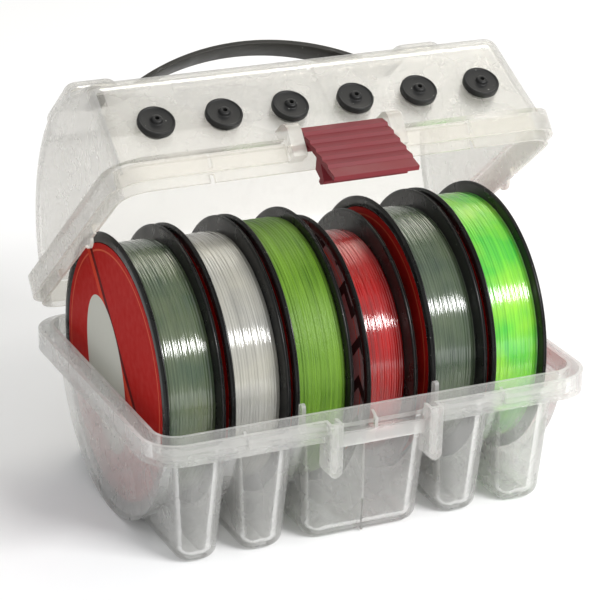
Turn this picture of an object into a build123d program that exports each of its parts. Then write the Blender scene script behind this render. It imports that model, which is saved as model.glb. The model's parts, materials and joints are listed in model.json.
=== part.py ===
from build123d import *
import os
from math import asin, atan, cos, degrees, hypot, radians, sin, tan

os.makedirs("parts", exist_ok=True)

# Line spool box: a clear tray with six line spools standing side by side, under a
# hinged clear lid with a carrying strap, a snap latch and one line outlet per spool.
# X runs along the box, the front is -Y, +Z is up. The origin is the centre of the
# base, on the surface that the feet stand on. Everything is in millimetres. The lid
# and what it carries are drawn shut, then swung to where the lid rests open.

# ---- Driving dimensions ----
bay_count = 6
pitch = 26.0
bay_centres = [pitch * (i - (bay_count - 1) / 2) for i in range(bay_count)]
axis_height = 55.0
wall = 1.6

# Tray
trough_radius = 53.3
body_half_length = 80.6
rim_half_length = 89.0
rim_half_depth = 65.6
rim_corner = 14.0
rim_floor = 45.0
rim_top = 53.0
skirt_wall = 1.5
inner_wall_inset = 4.6
inner_wall = 1.4
inner_wall_top = 54.5
foot_gap_places = (-54.0, -28.2, 26.4, 51.8)
foot_gap = 2.4
end_foot_edge = 77.6
foot_draft = 3.0
foot_half_depth = 58.0
foot_half_depth_base = 55.0
foot_corner = 7.0
foot_base_round = 5.5
foot_web = 0.8
foot_web_place = -1.5
tab_places = (-28.0, 25.5)
tab_y = 57.0
tab_width = 3.0
tab_thickness = 1.6
tab_top = 57.5
gusset = 1.2
gusset_places = (-52.2, -2.0, 50.6)
gusset_top = 53.0
gusset_low = 50.5
side_gusset_places = (-24.0, 24.0)

# Latch zone at the front of both halves
latch_half_zone = 17.3
lug_width = 5.4
lug_front = -69.4
lug_wall = 1.3
keeper_bottom = 42.0
keeper_top = 47.0
tray_lug_bottom = 32.0
lid_lug_top = 67.0

# Lid, measured shut
flange_top = 61.5
flange = 1.4
flange_bottom = flange_top - flange
lid_gap = 0.1
lid_inner_wall = 1.2
lid_inner_inset = 2.9
lid_inner_bottom = 49.9
lid_tab_y = -15.0
lid_tab_width = 8.0
lid_tab_bottom = 47.4
lid_rib = 1.6
dome_radius = 55.0
dome_half_length = 85.0
dome_end_draft = radians(3.5)
dome_end_round = 5.0
panel_foot_y = -60.5
panel_tilt = radians(20.8)
crown_tangent = radians(106.9)
brow_round = 7.0
panel_strip = 0.5
panel_strip_x = 3.0
panel_strip_width = 2.2
panel_strip_middle = 3.0
panel_strip_length = 34.0

# Shoulders near the dome's ends, and the strap between them
shoulder_x = 68.0
shoulder_width = 21.4
shoulder_depth = 34.0
shoulder_top = 114.4
shoulder_round = 5.0
shoulder_inner_side = shoulder_x - shoulder_width / 2
strap_y = 5.0
strap_width = 12.0
strap_thickness = 1.8
strap_end_height = 111.3
strap_apex = 125.6
strap_foot_radius = 22.0
strap_stop_x = 63.0
strap_stop = (3.0, 15.4, 2.6)
strap_slot_gap = 0.35

# Line outlets
outlet_height = 76.6
outlet_hole_radius = 3.5
outlet_disc_radius = 6.9
outlet_disc = 2.7

# Hinges, and how far the lid rests open
hinge_y = 73.0
hinge_z = 50.5
hinge_places = (-46.0, 46.0)
knuckle_radius = 4.0
hinge_pin_radius = 2.0
pin_clearance = 0.08
lid_arm_width = 12.4
ear_width = 3.2
side_clearance = 0.3
hinge_pin_reach = 3.0
lid_open_angle = 39.5

# Latch, measured shut, and how far it rests swung out
latch_y = -65.6
latch_z = 57.4
latch_swing_angle = 22.0
latch_half_width = 16.6
latch_plate = 1.8
latch_head = (-68.4, 64.2)
latch_tip = (-75.6, 33.2)
latch_rib_count = 5
latch_rib_pitch = 5.3
latch_rib_depth = 0.9
latch_bar_radius = 1.8
latch_pin_radius = 1.4
latch_pin_reach = 4.0

# Spools from left to right: place, flange radius, overall width and line radius. They lie
# loose, so none is quite in the middle of its bay.
spool_places = (-67.0, -41.6, -16.6, 11.7, 38.2, 63.5)
flange_radii = (52.5, 52.5, 52.5, 50.4, 52.5, 52.5)
spool_widths = (23.4, 23.4, 23.4, 21.0, 23.4, 23.4)
line_radii = (47.6, 47.0, 49.2, 43.0, 46.6, 48.6)
flange_plate = 1.3
label_recess = 0.6
label_thickness = 0.25
rim_ring_width = 4.0
hub_radius = 30.0
hub_wall = 2.0
bore_radius = 6.0
bore_wall = 1.6
web = 1.8
line_gap = 0.05

hinge_axis = Axis((0, hinge_y, hinge_z), (1, 0, 0))
latch_axis = Axis((0, latch_y, latch_z), (1, 0, 0))


def opened(shape):
    """The lid or a piece on it, swung from shut to its resting place."""
    return shape.rotate(hinge_axis, -lid_open_angle)


def rim_outline(inset, mode=Mode.ADD):
    """The rim's rounded rectangle, moved in all round."""
    RectangleRounded(
        2 * (rim_half_length - inset),
        2 * (rim_half_depth - inset),
        rim_corner - inset,
        mode=mode,
    )


def block(low, high, mode=Mode.ADD):
    """A box between two corners."""
    with Locations(tuple((a + b) / 2 for a, b in zip(low, high))):
        Box(*(b - a for a, b in zip(low, high)), mode=mode)


# ---- Tray ----
foot_lows = [-end_foot_edge] + [place + foot_gap / 2 for place in foot_gap_places]
foot_highs = [place - foot_gap / 2 for place in foot_gap_places] + [end_foot_edge]


def feet(inset):
    """All feet as drafted boxes, moved in all round. The middle two bays share one."""
    for low, high in zip(foot_lows, foot_highs):
        middle = (low + high) / 2
        width = high - low - 2 * inset
        corner = foot_corner - inset
        with BuildSketch(Plane.XY.offset(inset)) as base:
            with Locations((middle, 0)):
                RectangleRounded(
                    width - 2 * foot_draft, 2 * (foot_half_depth_base - inset), corner
                )
        with BuildSketch(Plane.XY.offset(rim_floor + wall)) as head:
            with Locations((middle, 0)):
                RectangleRounded(width, 2 * (foot_half_depth - inset), corner)
        loft([base.sketch, head.sketch])


with BuildPart() as foot_outsides:
    feet(0)
    fillet(foot_outsides.edges().group_by(Axis.Z)[0], foot_base_round)

with BuildPart() as foot_insides:
    feet(wall)
    fillet(foot_insides.edges().group_by(Axis.Z)[0], foot_base_round - wall)


def lug_outline(side, inset, top):
    """The front view of a tray lug: straight sides and a round bottom."""
    x = side * (latch_half_zone + lug_width / 2)
    round_centre = tray_lug_bottom + lug_width / 2
    with Locations((x, round_centre)):
        Circle(lug_width / 2 - inset)
    with Locations((x, (round_centre + top) / 2)):
        Rectangle(lug_width - 2 * inset, top - round_centre)


def gusset_outline(side):
    """The side view of a gusset: high at the inner wall, falling to the skirt."""
    inner = side * (rim_half_depth - inner_wall_inset - inner_wall / 2)
    outer = side * (rim_half_depth - skirt_wall / 2)
    low = rim_floor + wall / 2
    Polygon((inner, low), (inner, gusset_top), (outer, gusset_low), (outer, low), align=None)


def knuckle_arm(root_low, root_high):
    """The side view of a hinge ear or arm: from a wall to the round knuckle."""
    Polygon(
        root_low,
        root_high,
        (hinge_y, hinge_z + knuckle_radius),
        (hinge_y, hinge_z),
        (hinge_y - knuckle_radius * 0.6, hinge_z - knuckle_radius * 0.8),
        align=None,
    )
    with Locations((hinge_y, hinge_z)):
        Circle(knuckle_radius)


with BuildPart() as tray:
    with BuildSketch(Plane.XY.offset(rim_floor)):
        rim_outline(0)
    extrude(amount=rim_top - rim_floor)
    with BuildSketch(Plane.XY.offset(rim_floor)):
        rim_outline(inner_wall_inset)
    extrude(amount=inner_wall_top - rim_floor)
    with BuildSketch(Plane.YZ.offset(-body_half_length)):
        with Locations((0, axis_height)):
            Circle(trough_radius + wall)
        with Locations((0, axis_height + rim_floor)):
            Rectangle(4 * trough_radius, 2 * axis_height - wall, mode=Mode.SUBTRACT)
    extrude(amount=2 * body_half_length)
    add(foot_outsides.part)
    # Lugs beside the latch, still solid
    lug_depth = rim_half_depth - inner_wall_inset - abs(lug_front)
    for side in (-1, 1):
        with BuildSketch(Plane.XZ.offset(-lug_front)):
            lug_outline(side, 0, rim_top)
        extrude(amount=lug_depth)
    # Channel round the rim, then the hollow inside
    with BuildSketch(Plane.XY.offset(rim_floor + wall)):
        rim_outline(skirt_wall)
        rim_outline(inner_wall_inset, Mode.SUBTRACT)
        rim_outline(inner_wall_inset + inner_wall)
    extrude(amount=rim_top, mode=Mode.SUBTRACT)
    with BuildSketch(Plane.YZ.offset(wall - body_half_length)):
        with Locations((0, axis_height)):
            Circle(trough_radius)
    extrude(amount=2 * (body_half_length - wall), mode=Mode.SUBTRACT)
    add(foot_insides.part, mode=Mode.SUBTRACT)
    # The latch zone has no skirt, only a keeper bar low down, and the lugs are hollow
    block(
        (-latch_half_zone, -rim_half_depth, keeper_top),
        (latch_half_zone, inner_wall_inset - rim_half_depth, inner_wall_top + wall),
        Mode.SUBTRACT,
    )
    block(
        (-latch_half_zone, -rim_half_depth, keeper_bottom),
        (latch_half_zone, skirt_wall - rim_half_depth, keeper_top),
    )
    for side in (-1, 1):
        with BuildSketch(Plane.XZ.offset(-lug_front - lug_wall)):
            lug_outline(side, lug_wall, inner_wall_top + wall)
        extrude(amount=lug_depth + lug_wall, mode=Mode.SUBTRACT)
    # Gussets across the channel
    for x in gusset_places:
        for side in (-1, 1):
            with BuildSketch(Plane.YZ.offset(x)):
                gusset_outline(side)
            extrude(amount=gusset / 2, both=True)
    for y in side_gusset_places:
        for side in (-1, 1):
            end_view = Plane(
                origin=(side * (rim_half_length - rim_half_depth), y, 0),
                x_dir=(1, 0, 0),
                z_dir=(0, -1, 0),
            )
            with BuildSketch(end_view):
                gusset_outline(side)
            extrude(amount=gusset / 2, both=True)
    # A web across the wide middle foot, below the spools
    with BuildSketch(Plane.YZ.offset(foot_web_place)):
        with Locations((0, rim_floor / 2)):
            Rectangle(2 * foot_half_depth_base - wall, rim_floor - wall)
        with Locations((0, axis_height)):
            Circle(trough_radius, mode=Mode.SUBTRACT)
    extrude(amount=foot_web / 2, both=True)
    # Two round-topped tabs stand behind the front wall
    for x in tab_places:
        with BuildSketch(Plane.YZ.offset(x)):
            with Locations((-tab_y, (tab_top + rim_floor) / 2)):
                SlotOverall(tab_top - rim_floor, tab_width, rotation=90)
        extrude(amount=tab_thickness / 2, both=True)
    # Hinge ears at the back
    ear_offset = lid_arm_width / 2 + side_clearance + ear_width / 2
    for place in hinge_places:
        for side in (-1, 1):
            with BuildSketch(Plane.YZ.offset(place + side * ear_offset)):
                root_y = rim_half_depth - skirt_wall / 2
                knuckle_arm((root_y, rim_floor), (root_y, rim_top - 2))
                with Locations((hinge_y, hinge_z)):
                    Circle(hinge_pin_radius + pin_clearance, mode=Mode.SUBTRACT)
            extrude(amount=ear_width / 2, both=True)

tray.part.label = "tray"
export_step(tray.part, "parts/tray.step")

# ---- Lid ----
panel_normal = (-cos(panel_tilt), sin(panel_tilt))
top_normal = (cos(crown_tangent), sin(crown_tangent))


def panel_y(height, inset=0):
    """Where the sloping front panel is at a height."""
    return panel_foot_y + (height - flange_top) * tan(panel_tilt) + inset / cos(panel_tilt)


def dome_outline(inset, base):
    """The dome's end view: sloping panel, brow, flat run to the crown, round back."""
    radius = dome_radius - inset
    panel_distance = panel_normal[0] * panel_y(axis_height, inset)
    cross = panel_normal[0] * top_normal[1] - panel_normal[1] * top_normal[0]
    brow_y = (panel_distance * top_normal[1] - panel_normal[1] * radius) / cross
    brow_z = (panel_normal[0] * radius - panel_distance * top_normal[0]) / cross
    back_angle = asin((base - axis_height) / radius)
    with BuildLine() as outline:
        front = FilletPolyline(
            (panel_y(base, inset), base),
            (brow_y, brow_z + axis_height),
            (radius * top_normal[0], radius * top_normal[1] + axis_height),
            radius=brow_round - inset,
        )
        back = CenterArc(
            (0, axis_height), radius, degrees(crown_tangent), degrees(back_angle - crown_tangent)
        )
        Line(back @ 1, front @ 0)
    make_face(outline.edges())


def dome_solid(inset, base):
    """The dome's solid, moved in all round, with flat ends that lean in."""
    half_length = dome_half_length - inset
    with BuildSketch(Plane.YZ.offset(-half_length)) as end_view:
        dome_outline(inset, base)
    extrude(end_view.sketch, amount=2 * half_length)
    lean = (2 * dome_radius) * tan(dome_end_draft)
    with BuildSketch(Plane.XZ) as front_view:
        Polygon(
            (-half_length, base),
            (half_length, base),
            (half_length - lean, base + 2 * dome_radius),
            (lean - half_length, base + 2 * dome_radius),
            align=None,
        )
    extrude(front_view.sketch, amount=2 * dome_radius, both=True, mode=Mode.INTERSECT)


with BuildPart() as dome_outside:
    dome_solid(0, flange_bottom)
    for end in (0, -1):
        end_edges = dome_outside.faces().sort_by(Axis.X)[end].edges()
        fillet(end_edges.sort_by(Axis.Z)[1:], dome_end_round)

with BuildPart() as dome_inside:
    dome_solid(wall, flange_bottom - flange)
    for end in (0, -1):
        end_edges = dome_inside.faces().sort_by(Axis.X)[end].edges()
        fillet(end_edges.sort_by(Axis.Z)[1:], dome_end_round - wall)


def shoulder_solids(inset):
    """The two raised shoulders, moved in all round, down to inside the dome."""
    size = (shoulder_width - 2 * inset, shoulder_depth - 2 * inset)
    base = axis_height + dome_radius * cos(asin((strap_y + shoulder_depth / 2) / dome_radius))
    low = base - 3 * wall
    for centre in (-shoulder_x, shoulder_x):
        with BuildSketch(Plane.XY.offset(low)) as plan:
            with Locations((centre, strap_y)):
                RectangleRounded(*size, shoulder_round - inset / 2)
        extrude(plan.sketch, amount=shoulder_top - inset - low)


with BuildPart() as shoulder_outsides:
    shoulder_solids(0)
    fillet(shoulder_outsides.edges().group_by(Axis.Z)[-1], shoulder_round - wall / 2)

with BuildPart() as shoulder_insides:
    shoulder_solids(wall)
    fillet(shoulder_insides.edges().group_by(Axis.Z)[-1], shoulder_round - 1.5 * wall)

panel_plane = Plane(
    origin=(0, panel_y(outlet_height), outlet_height),
    x_dir=(1, 0, 0),
    z_dir=(0, *panel_normal),
)

with BuildPart() as shut_lid:
    # Flange, skirt and inner wall
    with BuildSketch(Plane.XY.offset(flange_bottom)):
        rim_outline(0)
    extrude(amount=flange)
    with BuildSketch(Plane.XY.offset(rim_top + lid_gap)):
        rim_outline(0)
        rim_outline(skirt_wall, Mode.SUBTRACT)
    extrude(amount=flange_bottom - rim_top - lid_gap)
    with BuildSketch(Plane.XY.offset(lid_inner_bottom)):
        rim_outline(lid_inner_inset)
        rim_outline(lid_inner_inset + lid_inner_wall, Mode.SUBTRACT)
    extrude(amount=flange_bottom - lid_inner_bottom)
    # Round-ended tabs that drop into the channel at both ends
    for side in (-1, 1):
        tab_plane_x = side * (rim_half_length - lid_inner_inset - lid_inner_wall / 2)
        with BuildSketch(Plane.YZ.offset(tab_plane_x)):
            with Locations((lid_tab_y, (lid_tab_bottom + flange_bottom) / 2)):
                SlotOverall(flange_bottom - lid_tab_bottom, lid_tab_width, rotation=90)
        extrude(amount=lid_inner_wall / 2, both=True)
    # Notches over the tray's gussets
    notch = gusset / 2 + side_clearance
    for x in gusset_places:
        block(
            (x - notch, -rim_half_depth, 0),
            (x + notch, rim_half_depth, gusset_top),
            Mode.SUBTRACT,
        )
    for y in side_gusset_places:
        block(
            (-rim_half_length, y - notch, 0),
            (rim_half_length, y + notch, gusset_top),
            Mode.SUBTRACT,
        )
    # Ribs between skirt and inner wall
    rib_low = rim_top + 2
    for x in (gusset_places[0], gusset_places[-1]):
        for side in (-1, 1):
            near = side * (rim_half_depth - skirt_wall / 2)
            far = side * (rim_half_depth - lid_inner_inset - lid_inner_wall / 2)
            block(
                (x - lid_rib / 2, min(near, far), rib_low),
                (x + lid_rib / 2, max(near, far), flange_bottom),
            )
    # The latch zone has no skirt, and a lug stands on each side of it
    block(
        (-latch_half_zone, -rim_half_depth, lid_inner_bottom),
        (latch_half_zone, lid_inner_inset - rim_half_depth - side_clearance, flange_top),
        Mode.SUBTRACT,
    )
    lug_back = -rim_half_depth + lid_inner_inset
    for side in (-1, 1):
        with BuildSketch(Plane.YZ.offset(side * (latch_half_zone + lug_width / 2))) as lug_side:
            Polygon(
                (lug_back, rim_top + lid_gap),
                (lug_front, rim_top + lid_gap),
                (lug_front, lid_lug_top),
                (panel_y(lid_lug_top, wall / 2), lid_lug_top),
                (panel_y(flange_bottom, wall / 2), flange_bottom),
                (lug_back, flange_bottom),
                align=None,
            )
            fillet(lug_side.vertices().group_by(Axis.Y)[-1].sort_by(Axis.X)[0], lug_width - 1)
        extrude(amount=lug_width / 2, both=True)
    # Hinge arms with their pins
    for place in hinge_places:
        with BuildSketch(Plane.YZ.offset(place)):
            root_y = rim_half_depth - skirt_wall / 2
            knuckle_arm((root_y, rim_top + 1), (root_y, flange_top))
        extrude(amount=lid_arm_width / 2, both=True)
        with BuildSketch(Plane.YZ.offset(place)):
            with Locations((hinge_y, hinge_z)):
                Circle(hinge_pin_radius)
        extrude(amount=lid_arm_width / 2 + hinge_pin_reach, both=True)
    # Dome and shoulders, then their hollows
    add(dome_outside.part)
    add(shoulder_outsides.part)
    add(dome_inside.part, mode=Mode.SUBTRACT)
    add(shoulder_insides.part, mode=Mode.SUBTRACT)
    # A shallow strip down the inside of the sloping panel
    with BuildSketch(panel_plane.offset(-wall - panel_strip)):
        with Locations((panel_strip_x, panel_strip_middle)):
            Rectangle(panel_strip_width, panel_strip_length)
    extrude(amount=panel_strip + wall / 2)
    # Holes for the latch's pins
    with BuildSketch(Plane.YZ):
        with Locations((latch_y, latch_z)):
            Circle(latch_pin_radius + pin_clearance)
    extrude(amount=latch_half_zone + lug_width, both=True, mode=Mode.SUBTRACT)
    # Slots for the strap
    slot_low = strap_end_height - strap_thickness / 2 - strap_slot_gap
    slot_half = strap_width / 2 + strap_slot_gap
    for side in (-1, 1):
        walls = sorted((side * (shoulder_inner_side - 1), side * (shoulder_inner_side + 2 * wall)))
        block(
            (walls[0], strap_y - slot_half, slot_low),
            (walls[1], strap_y + slot_half, slot_low + strap_thickness + 2 * strap_slot_gap),
            Mode.SUBTRACT,
        )
    # Holes for the line outlets
    with BuildSketch(panel_plane):
        with Locations([(x, 0) for x in bay_centres]):
            Circle(outlet_hole_radius + pin_clearance)
    extrude(amount=-2 * wall, mode=Mode.SUBTRACT)

with BuildPart() as lid:
    add(opened(shut_lid.part))
lid.part.label = "lid"
export_step(lid.part, "parts/lid.step")

# ---- Carrying strap: flat feet, a reverse bend each side and one long arch ----
half_span = shoulder_inner_side
arch_rise = strap_apex - strap_end_height
bend = 2 * atan(arch_rise / half_span)
arch_radius = half_span / sin(bend) - strap_foot_radius

with BuildPart() as shut_strap:
    with BuildSketch(Plane.XZ.offset(-strap_y)):
        with BuildLine():
            arch = CenterArc(
                (0, strap_apex - arch_radius), arch_radius, 90 - degrees(bend), 2 * degrees(bend)
            )
            for side in (-1, 1):
                start = 270 if side < 0 else 270 - degrees(bend)
                foot_bend = CenterArc(
                    (side * half_span, strap_end_height + strap_foot_radius),
                    strap_foot_radius,
                    start,
                    degrees(bend),
                )
                Line((side * half_span, strap_end_height), (side * strap_stop_x, strap_end_height))
        trace(line_width=strap_thickness)
    extrude(amount=strap_width / 2, both=True)
    with Locations(
        (-strap_stop_x, strap_y, strap_end_height), (strap_stop_x, strap_y, strap_end_height)
    ):
        Box(*strap_stop)

with BuildPart() as handle_strap:
    add(opened(shut_strap.part))
handle_strap.part.label = "handle_strap"
export_step(handle_strap.part, "parts/handle_strap.step")

# ---- Rubber line outlets: outer disc, neck through the panel, inner disc, nose, hole ----
outlet_steps = (
    (0.02, outlet_disc, outlet_disc_radius),
    (outlet_disc - 0.1, 1.1, 2.3),
    (-wall - 0.5, wall + 1, outlet_hole_radius),
    (-wall - 1.2, 1.18, outlet_disc_radius - 1.9),
)
outlet_bore = 0.8
for number, x in enumerate(bay_centres, start=1):
    with BuildPart() as shut_outlet:
        for start, thickness, radius in outlet_steps:
            with BuildSketch(panel_plane.offset(start)):
                with Locations((x, 0)):
                    Circle(radius)
            extrude(amount=thickness)
        with BuildSketch(panel_plane.offset(-2 * wall)):
            with Locations((x, 0)):
                Circle(outlet_bore)
        extrude(amount=6 * wall, mode=Mode.SUBTRACT)
    with BuildPart() as outlet:
        add(opened(shut_outlet.part))
    outlet.part.label = f"line_outlet_{number}"
    export_step(outlet.part, f"parts/line_outlet_{number}.step")

# ---- Latch: ribbed plate, hooked leg, pivot bar with a pin at each end ----
plate_length = hypot(latch_tip[0] - latch_head[0], latch_tip[1] - latch_head[1])
along = ((latch_tip[0] - latch_head[0]) / plate_length, (latch_tip[1] - latch_head[1]) / plate_length)
outward = (along[1], -along[0])


def on_plate(distance, height):
    """A point at a distance down the latch plate and a height out from its face."""
    return tuple(latch_head[i] + along[i] * distance + outward[i] * height for i in (0, 1))


hook_inner_y = latch_y - 0.5
hook_catch_y = latch_y + 1.2
hook_catch_z = keeper_bottom - side_clearance
ribbed_edge = []
for rib in range(latch_rib_count):
    ribbed_edge += [
        on_plate(rib * latch_rib_pitch, 0),
        on_plate((rib + 0.8) * latch_rib_pitch, latch_rib_depth),
    ]

with BuildPart() as shut_latch:
    with BuildSketch(Plane.YZ):
        Polygon(
            *ribbed_edge,
            on_plate(latch_rib_count * latch_rib_pitch, 0),
            on_plate(plate_length, 0),
            on_plate(plate_length, -latch_plate),
            on_plate(0, -latch_plate),
            align=None,
        )
        # Hooked leg
        Polygon(
            on_plate(16.5, -latch_plate / 2),
            on_plate(19.5, -latch_plate / 2),
            (hook_inner_y - 1.5, keeper_bottom - 3.4),
            (hook_inner_y, keeper_bottom - 3.4),
            (hook_catch_y, hook_catch_z - 1.6),
            (hook_catch_y, hook_catch_z),
            (hook_inner_y, hook_catch_z),
            (hook_inner_y, keeper_top - 1),
            align=None,
        )
        # Web to the pivot bar
        with Locations((latch_y - 1.7, latch_z)):
            Rectangle(3.4, 1.6)
        with Locations((latch_y, latch_z)):
            Circle(latch_bar_radius)
    extrude(amount=latch_half_width, both=True)
    with BuildSketch(Plane.YZ):
        with Locations((latch_y, latch_z)):
            Circle(latch_pin_radius)
    extrude(amount=latch_half_width + latch_pin_reach, both=True)

with BuildPart() as latch:
    add(opened(shut_latch.part.rotate(latch_axis, -latch_swing_angle)))
latch.part.label = "latch"
export_step(latch.part, "parts/latch.step")


# ---- Spools ----
def turned(centre, rise, corners):
    """A ring turned about the spool's axis from corners given as (along X, radius)."""
    axle = Plane(origin=(centre, 0, rise), x_dir=(1, 0, 0), z_dir=(0, -1, 0))
    with BuildSketch(axle) as section:
        Polygon(*corners, align=None)
    revolve(section.sketch, axis=Axis((centre, 0, rise), (1, 0, 0)))


def ring(low, high, inner, outer):
    """The corners of a plain ring's section."""
    return (low, inner), (high, inner), (high, outer), (low, outer)


for number in range(1, bay_count + 1):
    centre = spool_places[number - 1]
    radius = flange_radii[number - 1]
    half_width = spool_widths[number - 1] / 2
    line_radius = line_radii[number - 1]
    rise = axis_height - (max(flange_radii) - radius)
    plate_face = half_width - label_recess
    inner_face = plate_face - flange_plate

    with BuildPart() as spool_body:
        turned(centre, rise, ring(-inner_face, inner_face, hub_radius - hub_wall, hub_radius))
        turned(centre, rise, ring(-web / 2, web / 2, bore_radius, hub_radius))
        turned(
            centre,
            rise,
            ring(-inner_face + 1, inner_face - 1, bore_radius, bore_radius + bore_wall),
        )
        for side in (-1, 1):
            turned(
                centre,
                rise,
                (
                    (side * inner_face, hub_radius - hub_wall),
                    (side * plate_face, hub_radius - hub_wall),
                    (side * plate_face, radius - rim_ring_width),
                    (side * half_width, radius - rim_ring_width + label_recess / 2),
                    (side * half_width, radius),
                    (side * inner_face, radius),
                ),
            )
    spool_body.part.label = f"spool_body_{number}"
    export_step(spool_body.part, f"parts/spool_body_{number}.step")

    with BuildPart() as line:
        inner, outer = line_gap - inner_face, inner_face - line_gap
        turned(centre, rise, ring(inner, outer, hub_radius + line_gap, line_radius))
    line.part.label = f"line_{number}"
    export_step(line.part, f"parts/line_{number}.step")

    for side, name in ((-1, "left"), (1, "right")):
        with BuildPart() as label:
            low, high = sorted((side * plate_face, side * (plate_face + label_thickness)))
            label_outer = radius - rim_ring_width - 0.2
            turned(centre, rise, ring(low, high, 0, label_outer))
        label.part.label = f"label_{name}_{number}"
        export_step(label.part, f"parts/label_{name}_{number}.step")
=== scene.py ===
import json
from math import cos, exp, pi, radians, sin

import bpy
from mathutils import Matrix, Vector
from mathutils.bvhtree import BVHTree


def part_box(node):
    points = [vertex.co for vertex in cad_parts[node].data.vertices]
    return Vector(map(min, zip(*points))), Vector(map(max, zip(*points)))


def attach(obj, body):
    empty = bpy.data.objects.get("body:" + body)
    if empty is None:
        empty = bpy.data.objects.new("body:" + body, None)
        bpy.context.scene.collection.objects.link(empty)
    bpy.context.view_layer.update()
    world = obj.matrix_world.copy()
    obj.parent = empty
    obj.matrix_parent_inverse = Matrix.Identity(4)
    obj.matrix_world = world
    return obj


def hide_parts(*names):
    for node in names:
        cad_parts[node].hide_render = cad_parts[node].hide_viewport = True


# Looks for the line spool box. Everything is in metres, in the part's own frame: X runs along
# the box, the front is -Y, +Z is up. Lengths that suit the object are given in millimetres.
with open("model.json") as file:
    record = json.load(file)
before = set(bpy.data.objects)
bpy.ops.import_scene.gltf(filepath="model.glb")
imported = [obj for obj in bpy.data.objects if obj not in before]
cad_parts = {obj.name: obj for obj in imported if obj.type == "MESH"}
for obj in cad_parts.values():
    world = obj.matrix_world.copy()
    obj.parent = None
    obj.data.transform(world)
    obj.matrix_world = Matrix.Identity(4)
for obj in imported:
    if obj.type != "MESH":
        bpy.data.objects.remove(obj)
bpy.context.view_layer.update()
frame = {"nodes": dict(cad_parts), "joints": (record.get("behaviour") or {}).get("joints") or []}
nodes = frame["nodes"]
scene = bpy.context.scene
mm = 0.001
bay_count = 6

# ---- Camera ----
look_at = Vector((-3.4, 0, 72.5)) * mm
camera_azimuth = radians(24.9)
camera_elevation = radians(21.9)
camera_roll = radians(1.03)
camera_distance = 968 * mm
focal_pixels = 2564
frame_pixels = 600
sensor = 36


def make_camera():
    """The camera at the reference viewing angle, to the left of the front and above."""
    data = bpy.data.cameras.new("camera")
    data.sensor_width = sensor
    data.sensor_fit = "HORIZONTAL"
    data.lens = focal_pixels / (frame_pixels - 1) * sensor
    data.clip_start = 0.01
    camera = bpy.data.objects.new("camera", data)
    scene.collection.objects.link(camera)
    back = Vector(
        (
            -sin(camera_azimuth) * cos(camera_elevation),
            -cos(camera_azimuth) * cos(camera_elevation),
            sin(camera_elevation),
        )
    )
    right = Vector((cos(camera_azimuth), -sin(camera_azimuth), 0))
    up = back.cross(right)
    rolled_right = right * cos(camera_roll) + up * sin(camera_roll)
    rolled_up = back.cross(rolled_right)
    turn = Matrix((rolled_right, rolled_up, back)).transposed()
    camera.matrix_world = Matrix.Translation(look_at + back * camera_distance) @ turn.to_4x4()
    scene.camera = camera


# ---- Places read from the frame ----
def joint(name):
    return next(j for j in frame["joints"] if j["name"] == name)


spool_joints = [joint(f"spool_{i}_spin") for i in range(1, bay_count + 1)]


# ---- Node helpers ----
class Shader:
    """A material under construction, with short calls for its nodes."""

    def __init__(self, name):
        self.material = bpy.data.materials.new(name)
        self.material.use_nodes = True
        self.tree = self.material.node_tree
        self.tree.nodes.clear()
        self.output = self.tree.nodes.new("ShaderNodeOutputMaterial")

    def node(self, kind, inputs=None, **settings):
        made = self.tree.nodes.new(kind)
        for key, value in settings.items():
            setattr(made, key, value)
        for key, value in (inputs or {}).items():
            self.put(made.inputs[key], value)
        return made

    def put(self, socket, value):
        """Links an output socket, or sets a plain value."""
        if isinstance(value, bpy.types.NodeSocket):
            self.tree.links.new(value, socket)
        elif isinstance(value, bpy.types.Node):
            self.tree.links.new(value.outputs[0], socket)
        elif isinstance(value, tuple) and len(value) == 3 and len(socket.default_value) == 4:
            socket.default_value = (*value, 1)
        else:
            socket.default_value = value

    def math(self, operation, a, b=0.0, c=0.0, clamp=False):
        made = self.node("ShaderNodeMath", {0: a, 1: b, 2: c}, operation=operation)
        made.use_clamp = clamp
        return made.outputs[0]

    def between(self, value, low, high, out_low=0.0, out_high=1.0, smooth=False):
        kind = "SMOOTHSTEP" if smooth else "LINEAR"
        made = self.node(
            "ShaderNodeMapRange",
            {0: value, 1: low, 2: high, 3: out_low, 4: out_high},
            interpolation_type=kind,
        )
        return made.outputs[0]

    def mix(self, share, a, b, blend="MIX"):
        made = self.node("ShaderNodeMix", data_type="RGBA", blend_type=blend)
        self.put(made.inputs[0], share)
        self.put(made.inputs[6], a)
        self.put(made.inputs[7], b)
        return made.outputs[2]

    def place(self):
        """The point on the piece, in metres, which moves with the piece."""
        return self.node("ShaderNodeTexCoord").outputs["Object"]

    def scaled(self, vector, scale, offset=(0, 0, 0)):
        made = self.node("ShaderNodeVectorMath", {0: vector, 1: scale, 2: offset})
        made.operation = "MULTIPLY_ADD"
        return made.outputs[0]

    def noise(self, vector, scale, detail=2.0, roughness=0.5):
        inputs = {"Vector": vector, "Scale": scale, "Detail": detail, "Roughness": roughness}
        return self.node("ShaderNodeTexNoise", inputs).outputs["Fac"]

    def bump(self, height, distance, strength=1.0):
        inputs = {"Height": height, "Distance": distance, "Strength": strength}
        return self.node("ShaderNodeBump", inputs).outputs[0]

    def principled(self, inputs):
        return self.node("ShaderNodeBsdfPrincipled", inputs).outputs[0]

    def finish(self, surface):
        self.tree.links.new(surface, self.output.inputs["Surface"])
        return self.material


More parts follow.
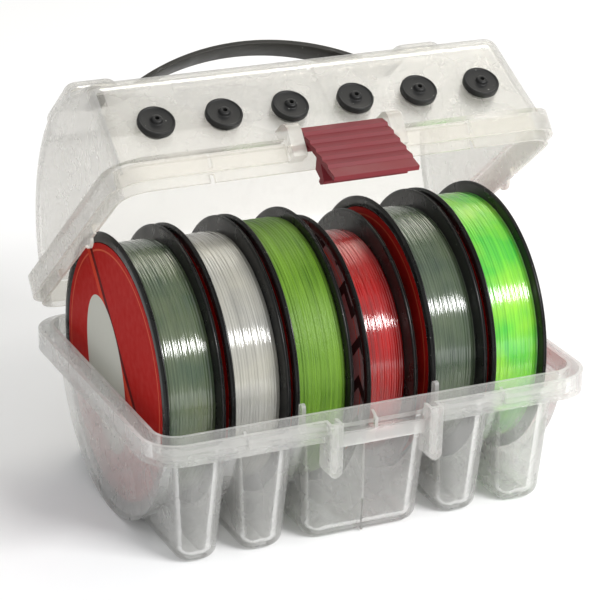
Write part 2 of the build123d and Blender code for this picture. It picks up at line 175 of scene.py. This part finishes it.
# ---- Materials ----
def clear_plastic(name, haze, tint, milk_low, milk_high):
    """Hazy clear polypropylene. The haze grows with the depth of plastic behind the surface."""
    s = Shader(name)
    place = s.place()
    depth = s.node("ShaderNodeAttribute", attribute_name="depth").outputs["Fac"]
    cloud = s.between(s.noise(place, 45, 3), 0.3, 0.7, 0.93, 1.07)
    thick = s.math("MULTIPLY", s.math("ADD", depth, haze), cloud, clamp=True)
    rough = s.between(s.noise(place, 90, 3), 0.3, 0.7, 0.2, 0.32)
    cream = s.mix(s.noise(place, 25, 2), milk_low, milk_high)
    milk = s.node("ShaderNodeBsdfDiffuse", {"Color": cream}).outputs[0]
    glow = s.node("ShaderNodeBsdfTranslucent", {"Color": cream}).outputs[0]
    body = s.node("ShaderNodeMixShader", {0: 0.4, 1: milk, 2: glow}).outputs[0]
    see = s.node("ShaderNodeBsdfTransparent", {"Color": tint}).outputs[0]
    hazy = s.node("ShaderNodeMixShader", {0: thick, 1: see, 2: body}).outputs[0]
    gloss_share = s.node("ShaderNodeFresnel", {"IOR": 1.4}).outputs[0]
    soft_share = s.math("MULTIPLY", gloss_share, 0.7)
    gloss = s.node(
        "ShaderNodeBsdfAnisotropic", {"Color": (1, 1, 1), "Roughness": rough}
    ).outputs[0]
    return s.finish(s.node("ShaderNodeMixShader", {0: soft_share, 1: hazy, 2: gloss}).outputs[0])


def moulded_black(name, low, high, rough_low, rough_high, specular):
    """Black moulded plastic or rubber with a fine texture and a little dust."""
    s = Shader(name)
    place = s.place()
    grain = s.noise(place, 1800, 2)
    cloud = s.noise(place, 120, 4)
    dust_spots = s.between(s.noise(place, 900, 1), 0.76, 0.8)
    dusty = s.mix(dust_spots, s.mix(cloud, low, high), (0.24, 0.24, 0.22))
    inputs = {
        "Base Color": dusty,
        "Roughness": s.between(cloud, 0.3, 0.7, rough_low, rough_high),
        "Specular IOR Level": specular,
        "Normal": s.bump(grain, 0.00002, 0.5),
    }
    return s.finish(s.principled(inputs))


def wound_line(name, deep, pale, painted_sheen, number, strand, matte):
    """Wound line: fine strands round the spool with slightly different tones, and random patches of
    painted sheen in a paler, warmer tone.
    """
    s = Shader(name)
    place = s.place()
    across = s.scaled(place, (1 / (strand * mm), 12, 12), (number * 7.3, 0, 0))
    strands = s.noise(across, 1.0, 3, 0.6)
    broad = s.noise(s.scaled(place, (320, 25, 25), (0, number * 3.1, 0)), 1.0, 3, 0.6)
    tone = s.between(s.math("MULTIPLY_ADD", strands, 0.6, s.math("MULTIPLY", broad, 0.4)), 0.32, 0.68)
    colour = s.mix(tone, deep, pale)
    # Painted sheen: random patches mixed towards a paler, warmer copy of the line colour
    sheen_patches = s.between(s.noise(s.scaled(place, (60, 60, 60), (number, 0, 0)), 1.0, 2), 0.35, 0.7)
    colour = s.mix(s.math("MULTIPLY", sheen_patches, 0.55), colour, painted_sheen)
    streaks = s.noise(s.scaled(place, (2600, 170, 170), (0, 0, number * 1.7)), 1.0, 2, 0.6)
    height = s.math("ADD", strands, s.math("MULTIPLY", broad, 0.7))
    height = s.math("MULTIPLY_ADD", streaks, 1.8, height)
    if matte:
        fibres = s.noise(s.scaled(place, (2600, 1500, 1500)), 1.0, 2)
        height = s.math("ADD", s.math("MULTIPLY", height, 0.6), s.math("MULTIPLY", fibres, 1.6))
    inputs = {
        "Base Color": colour,
        "Roughness": s.between(streaks, 0.3, 0.7, 0.1 + matte, 0.2 + matte),
        "Specular IOR Level": 0.3 if matte else 0.5,
        "Coat Weight": 0.0 if matte else 0.8,
        "Coat Roughness": 0.08,
        "Coat IOR": 1.6,
        "Normal": s.bump(height, 0.00012, 0.5 if not matte else 0.9),
    }
    return s.finish(s.principled(inputs))


stripe_slope = -0.93
stripes = ((-11.6, 1.9, (0.55, 0.045, 0.018)), (-15.6, 1.6, (0.1, 0.005, 0.005)))


def printed_label(name, main, band, centre, outer, left_oval=False, zigzag=False):
    """A printed paper ring: bands of colour by radius, with no lettering."""
    s = Shader(name)
    place = s.scaled(s.place(), (0, 1, 1), (0, 0, -centre.z))
    radius = s.node("ShaderNodeVectorMath", {0: place}, operation="LENGTH").outputs["Value"]
    axes = s.node("ShaderNodeSeparateXYZ", {0: place})
    y, z = axes.outputs[1], axes.outputs[2]
    tone = s.noise(place, 300, 3)
    paper = s.mix(tone, main, tuple(0.86 * c for c in main))
    ring = s.math("LESS_THAN", s.math("ABSOLUTE", s.math("SUBTRACT", radius, outer - 2.6 * mm)), 0.35 * mm)
    paper = s.mix(s.math("MULTIPLY", ring, 0.8), paper, band)
    if zigzag:
        teeth = s.math("PINGPONG", y, 7 * mm)
        step = s.math("ADD", z, s.math("MULTIPLY", teeth, 1.1))
        stripe = s.math("LESS_THAN", s.math("WRAP", step, 16 * mm, 0.0), 5 * mm)
        paper = s.mix(stripe, paper, (0.03, 0.03, 0.03))
    if left_oval:
        slant = s.math("MULTIPLY_ADD", z, stripe_slope, y)
        for offset, half, colour in stripes:
            gap = s.math("ABSOLUTE", s.math("SUBTRACT", slant, offset * mm))
            paper = s.mix(s.math("LESS_THAN", gap, half * mm), paper, colour)
        leaning = s.math("MULTIPLY_ADD", z, -0.24, y)
        wide = s.math("DIVIDE", s.math("SUBTRACT", leaning, 8.8 * mm), 19 * mm)
        tall = s.math("DIVIDE", s.math("SUBTRACT", z, -4 * mm), 28.8 * mm)
        reach = s.math("ADD", s.math("POWER", wide, 2.0), s.math("POWER", tall, 2.0))
        paper = s.mix(s.math("LESS_THAN", reach, 1.0), paper, (0.56, 0.56, 0.5))
    inputs = {
        "Base Color": paper,
        "Roughness": s.between(tone, 0.3, 0.7, 0.45, 0.6),
        "Specular IOR Level": 0.04,
        "Normal": s.bump(tone, 0.00001, 0.2),
    }
    return s.finish(s.principled(inputs))


def satin_red(name):
    """The latch's dark red plastic, a little paler in random patches."""
    s = Shader(name)
    place = s.place()
    cloud = s.noise(place, 90, 4)
    colour = s.mix(cloud, (0.15, 0.016, 0.022), (0.19, 0.024, 0.03))
    inputs = {
        "Base Color": colour,
        "Roughness": s.between(cloud, 0.3, 0.7, 0.36, 0.48),
        "Specular IOR Level": 0.18,
        "Normal": s.bump(s.noise(place, 2200, 2), 0.00002, 0.3),
    }
    return s.finish(s.principled(inputs))


# ---- Geometry helpers ----
def new_piece(name, vertices, faces, material, smooth_angle=40):
    """A mesh piece from plain vertices and faces, with smooth shading."""
    mesh = bpy.data.meshes.new(name)
    mesh.from_pydata([tuple(v) for v in vertices], [], faces)
    mesh.validate()
    mesh.materials.append(material)
    for polygon in mesh.polygons:
        polygon.use_smooth = True
    piece = bpy.data.objects.new(name, mesh)
    scene.collection.objects.link(piece)
    mesh.set_sharp_from_angle(angle=radians(smooth_angle))
    return piece


def rounded(corners, radius, steps=3):
    """The corners of a closed profile with each one replaced by a short arc."""
    out = []
    count = len(corners)
    for i, corner in enumerate(corners):
        here = Vector(corner)
        before = Vector(corners[i - 1]) - here
        after = Vector(corners[(i + 1) % count]) - here
        reach = min(radius, before.length * 0.45, after.length * 0.45)
        a = here + before.normalized() * reach
        b = here + after.normalized() * reach
        for k in range(steps + 1):
            t = k / steps
            out.append(a * (1 - t) ** 2 + here * 2 * t * (1 - t) + b * t * t)
    return out


def lathe(name, profile, centre, axis, material, segments=128, smooth_angle=40):
    """Turns a closed profile of (distance along the axis, radius) round an axis."""
    axis = axis.normalized()
    side = axis.orthogonal().normalized()
    other = axis.cross(side)
    vertices = []
    for k in range(segments):
        turn = 2 * pi * k / segments
        spoke = side * cos(turn) + other * sin(turn)
        vertices += [centre + axis * p[0] + spoke * p[1] for p in profile]
    count = len(profile)
    faces = []
    for k in range(segments):
        here, there = k * count, (k + 1) % segments * count
        for i in range(count):
            j = (i + 1) % count
            faces.append((here + i, here + j, there + j, there + i))
    piece = new_piece(name, vertices, faces, material, smooth_angle)
    mesh = piece.data
    middle = sum((Vector(v.co) for v in mesh.vertices), Vector()) / len(mesh.vertices)
    return piece if signed_volume(mesh, middle) > 0 else flipped(piece)


def signed_volume(mesh, middle):
    """The volume the faces enclose, negative if they face inwards."""
    mesh.calc_loop_triangles()
    total = 0
    for triangle in mesh.loop_triangles:
        a, b, c = (mesh.vertices[i].co - middle for i in triangle.vertices)
        total += a.dot(b.cross(c))
    return total


def flipped(piece):
    piece.data.flip_normals()
    return piece


def x_span(node):
    low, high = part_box(node)
    return low.x, high.x


def body_radius(node):
    low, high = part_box(node)
    return (high.z - low.z) / 2


# ---- Clear shells: how much plastic is behind each face ----
def smooth_regions(mesh, angle=25):
    """Numbers the faces so that neighbours across a smooth edge share a number."""
    home = list(range(len(mesh.polygons)))

    def find(i):
        while home[i] != i:
            home[i] = home[home[i]]
            i = home[i]
        return i

    limit = cos(radians(angle))
    first_at = {}
    points = [tuple(round(c * 1e6) for c in v.co) for v in mesh.vertices]
    for polygon in mesh.polygons:
        corners = [points[i] for i in polygon.vertices]
        for i, corner in enumerate(corners):
            edge = frozenset((corners[i - 1], corner))
            other = first_at.setdefault(edge, polygon.index)
            if mesh.polygons[other].normal.dot(polygon.normal) > limit:
                home[find(polygon.index)] = find(other)
    return [find(i) for i in home]


def add_depth(node, reach=9 * mm, share=0.6):
    """Gives each smooth region a number that grows with the plastic straight behind it."""
    mesh = nodes[node].data
    tree = BVHTree.FromPolygons(
        [v.co for v in mesh.vertices], [p.vertices[:] for p in mesh.polygons]
    )
    regions = smooth_regions(mesh)
    behind, area = {}, {}
    for polygon in mesh.polygons:
        inward = -polygon.normal
        start = polygon.center + inward * 0.02 * mm
        distance = tree.ray_cast(start, inward, 60 * mm)[3] or 0
        region = regions[polygon.index]
        behind[region] = behind.get(region, 0) + (1 - exp(-distance / reach)) * polygon.area
        area[region] = area.get(region, 0) + polygon.area
    depth = mesh.attributes.new("depth", "FLOAT", "FACE")
    for polygon in mesh.polygons:
        region = regions[polygon.index]
        depth.data[polygon.index].value = share * behind[region] / max(area[region], 1e-12)


def soften(node, width, angle=35):
    """Rounds a CAD node's sharp edges a little, so that they catch the light."""
    weld = nodes[node].modifiers.new("joined_faces", "WELD")
    weld.merge_threshold = 0.002 * mm
    bevel = nodes[node].modifiers.new("soft_edges", "BEVEL")
    bevel.width = width
    bevel.segments = 2
    bevel.limit_method = "ANGLE"
    bevel.angle_limit = radians(angle)
    bevel.harden_normals = False


def coat(node, material):
    slots = nodes[node].data.materials
    for i in range(len(slots)):
        slots[i] = material
    if not len(slots):
        slots.append(material)


# ---- Spools ----
# The third colour of each line is a paler, warmer tone, painted in random patches as sheen
line_looks = {
    1: ((0.022, 0.045, 0.026), (0.075, 0.11, 0.06), (0.13, 0.15, 0.07), 0.3, 0.0),
    2: ((0.2, 0.2, 0.185), (0.4, 0.395, 0.36), (0.46, 0.44, 0.36), 0.3, 0.0),
    3: ((0.022, 0.07, 0.006), (0.17, 0.34, 0.025), (0.16, 0.3, 0.03), 0.32, 0.25),
    4: ((0.15, 0.002, 0.002), (0.4, 0.006, 0.006), (0.46, 0.01, 0.008), 0.3, 0.0),
    5: ((0.02, 0.04, 0.024), (0.07, 0.1, 0.06), (0.12, 0.15, 0.08), 0.3, 0.0),
    6: ((0.02, 0.36, 0.04), (0.14, 0.62, 0.03), (0.42, 0.72, 0.03), 0.3, 0.0),
}


def make_spool(number, black, labels):
    """One spool: body with rounded flanges, wound line and two labels."""
    axis = Vector((1, 0, 0))
    centre = Vector(spool_joints[number - 1]["pos_m"])
    body_node, line_node = f"spool_body_{number}", f"line_{number}"
    low, high = x_span(body_node)
    half = (high - low) / 2
    radius = body_radius(body_node)
    line_low, line_high = x_span(line_node)
    line_half = (line_high - line_low) / 2
    line_radius = body_radius(line_node)
    plate = x_span(f"label_right_{number}")[0] - centre.x
    inner = line_half + 0.05 * mm
    bore, tube, hub_in, hub_out = 6 * mm, 7.6 * mm, 28 * mm, 30 * mm
    web = 0.9 * mm
    rim = 4 * mm
    # Half of the section, mirrored for the other side
    right = [
        (inner - 1 * mm, bore),
        (inner - 1 * mm, tube),
        (web, tube),
        (web, hub_in),
        (plate, hub_in),
        (plate, radius - rim),
        (half - 0.25 * mm, radius - rim + 0.35 * mm),
        (half, radius - rim + 1.3 * mm),
        (half, radius - 0.7 * mm),
        (half - 0.7 * mm, radius),
        (inner + (half - inner) * 0.62, radius),
        (inner + (half - inner) * 0.5, radius - 0.4 * mm),
        (inner + (half - inner) * 0.38, radius),
        (inner + 0.3 * mm, radius - 0.1 * mm),
        (inner, radius - 0.8 * mm),
        (inner, hub_out),
    ]
    left = [(-x, r) for x, r in reversed(right)]
    profile = rounded(right + left, 0.3 * mm, 2)
    body = lathe(f"spool_{number}_body", profile, centre, axis, black, 160)
    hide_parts(body_node)

    deep, pale, painted_sheen, strand, matte = line_looks[number]
    line_material = wound_line(f"line_{number}_wound", deep, pale, painted_sheen, number, strand, matte)
    rows = 64
    crown = []
    for i in range(rows + 1):
        x = -line_half + 2 * line_half * i / rows
        edge = abs(x) / line_half
        wave = 0.12 * mm * sin(i * 1.7 + number) + 0.1 * mm * sin(i * 0.61 + 2 * number)
        slope = 0.45 * mm * edge**6
        crown.append((x, line_radius - 0.25 * mm + wave - slope))
    wound = [(-line_half, hub_out + 0.05 * mm)] + crown + [(line_half, hub_out + 0.05 * mm)]
    line = lathe(f"line_{number}_wound", wound, centre, axis, line_material, 160, 60)
    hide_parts(line_node)
    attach(body, f"spool_{number}")
    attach(line, f"spool_{number}")
    for side in ("left", "right"):
        coat(f"label_{side}_{number}", labels[(number, side)])


# ---- Line outlets ----
def make_outlet(number, rubber):
    """A rubber outlet: domed disc with a raised lip, neck, inner disc and nose with its hole."""
    node = f"line_outlet_{number}"
    mesh = nodes[node].data
    first = max(mesh.polygons, key=lambda p: p.area)
    axis = Vector((0, 0, 0))
    for polygon in mesh.polygons:
        if abs(abs(polygon.normal.dot(first.normal)) - 1) < 1e-4:
            axis = first.normal
    axis = Vector((0, axis.y, axis.z)).normalized()
    if axis.y > 0:
        axis = -axis
    along = [v.co.dot(axis) for v in mesh.vertices]
    low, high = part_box(node)
    middle = (low + high) / 2
    centre = sum((v.co for v in mesh.vertices), Vector()) / len(mesh.vertices)
    centre.x = middle.x
    back, front = min(along), max(along)
    origin = centre + axis * (front - centre.dot(axis))
    # Distances from the nose's tip back along the axis
    disc = 6.9 * mm
    corners = [
        (0, 0.8 * mm),
        (-0.05 * mm, 1.5 * mm),
        (-0.35 * mm, 2.0 * mm),
        (-1.3 * mm, 2.2 * mm),
        (-1.4 * mm, 2.7 * mm),
        (-1.35 * mm, 5.9 * mm),
        (-1.05 * mm, 6.15 * mm),
        (-1.02 * mm, disc - 0.3 * mm),
        (-1.3 * mm, disc - 0.04 * mm),
        (-3.3 * mm, disc),
        (-3.64 * mm, disc - 0.25 * mm),
        (-3.66 * mm, 3.5 * mm),
        (back - front + 1.18 * mm, 3.5 * mm),
        (back - front + 1.18 * mm, disc - 1.9 * mm),
        (back - front + 0.3 * mm, disc - 2.1 * mm),
        (back - front, disc - 2.6 * mm),
        (back - front, 0.8 * mm),
    ]
    outlet = lathe(f"outlet_{number}", rounded(corners, 0.25 * mm, 2), origin, axis, rubber, 64)
    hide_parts(node)
    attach(outlet, "lid_body")


# ---- Stage ----
room_light = 0.6
light_distance = 1.3
# Name, direction from the box, width, height, brightness, colour
studio_lights = (
    ("front_softbox", (0.41, -0.73, 0.55), 0.75, 0.17, 40.0, (1, 1, 1)),
    ("top_softbox", (0.38, 0.5, 0.79), 0.9, 0.4, 4.2, (1, 0.96, 0.86)),
)


def make_stage():
    """Pale floor, white surroundings and soft studio lights."""
    size = 6
    floor = Shader("floor")
    tone = floor.mix(floor.noise(floor.place(), 3, 2), (0.95, 0.95, 0.95), (0.97, 0.97, 0.97))
    material = floor.finish(floor.node("ShaderNodeBsdfDiffuse", {"Color": tone}).outputs[0])
    corners = [(-size, -size, 0), (size, -size, 0), (size, size, 0), (-size, size, 0)]
    new_piece("floor", corners, [(0, 1, 2, 3)], material)
    world = bpy.data.worlds.new("studio")
    world.use_nodes = True
    tree = world.node_tree
    tree.nodes.clear()
    output = tree.nodes.new("ShaderNodeOutputWorld")
    sky = tree.nodes.new("ShaderNodeBackground")
    room = tree.nodes.new("ShaderNodeBackground")
    pick = tree.nodes.new("ShaderNodeMixShader")
    path = tree.nodes.new("ShaderNodeLightPath")
    sky.inputs["Strength"].default_value = 1.0
    sky.inputs["Color"].default_value = (1, 1, 1, 1)
    room.inputs["Strength"].default_value = room_light
    room.inputs["Color"].default_value = (0.97, 0.98, 1, 1)
    tree.links.new(path.outputs["Is Camera Ray"], pick.inputs[0])
    tree.links.new(room.outputs[0], pick.inputs[1])
    tree.links.new(sky.outputs[0], pick.inputs[2])
    tree.links.new(pick.outputs[0], output.inputs["Surface"])
    scene.world = world
    for name, direction, width, depth, brightness, colour in studio_lights:
        data = bpy.data.lights.new(name, "AREA")
        data.shape = "RECTANGLE"
        data.size = width
        data.size_y = depth
        data.energy = brightness * pi * width * depth
        data.color = colour
        light = bpy.data.objects.new(name, data)
        light.location = look_at + Vector(direction).normalized() * light_distance
        light.rotation_euler = Vector(direction).to_track_quat("Z", "Y").to_euler()
        scene.collection.objects.link(light)


# ---- Putting it together ----
make_camera()
make_stage()

tray_clear = clear_plastic(
    "tray_clear", 0.13, (0.985, 0.985, 0.98), (0.82, 0.815, 0.79), (0.88, 0.875, 0.85)
)
lid_clear = clear_plastic(
    "lid_clear", 0.06, (0.985, 0.98, 0.97), (0.86, 0.83, 0.755), (0.91, 0.885, 0.81)
)
for node, material in (("tray", tray_clear), ("lid", lid_clear)):
    add_depth(node)
    coat(node, material)
coat("latch", satin_red("latch_red"))
soften("latch", 0.2 * mm)
strap_black = moulded_black("strap_black", (0.02, 0.019, 0.016), (0.034, 0.032, 0.027), 0.4, 0.55, 0.25)
coat("handle_strap", strap_black)
soften("handle_strap", 0.4 * mm)

black = moulded_black("spool_black", (0.007, 0.007, 0.007), (0.015, 0.015, 0.014), 0.22, 0.4, 0.28)
rubber = moulded_black("outlet_rubber", (0.009, 0.009, 0.009), (0.018, 0.018, 0.017), 0.4, 0.6, 0.3)
labels = {}
for number in range(1, bay_count + 1):
    centre = Vector(spool_joints[number - 1]["pos_m"])
    outer = body_radius(f"label_left_{number}")
    for side in ("left", "right"):
        grey = number == 4
        main = (0.34, 0.35, 0.36) if grey else (0.43, 0.011, 0.008)
        band = (0.6, 0.12, 0.06)
        labels[(number, side)] = printed_label(
            f"label_{side}_{number}_print", main, band, centre, outer,
            left_oval=number == 1 and side == "left", zigzag=grey,
        )
    make_spool(number, black, labels)
    make_outlet(number, rubber)

scene.view_settings.view_transform = "Standard"
scene.cycles.transparent_max_bounces = 40
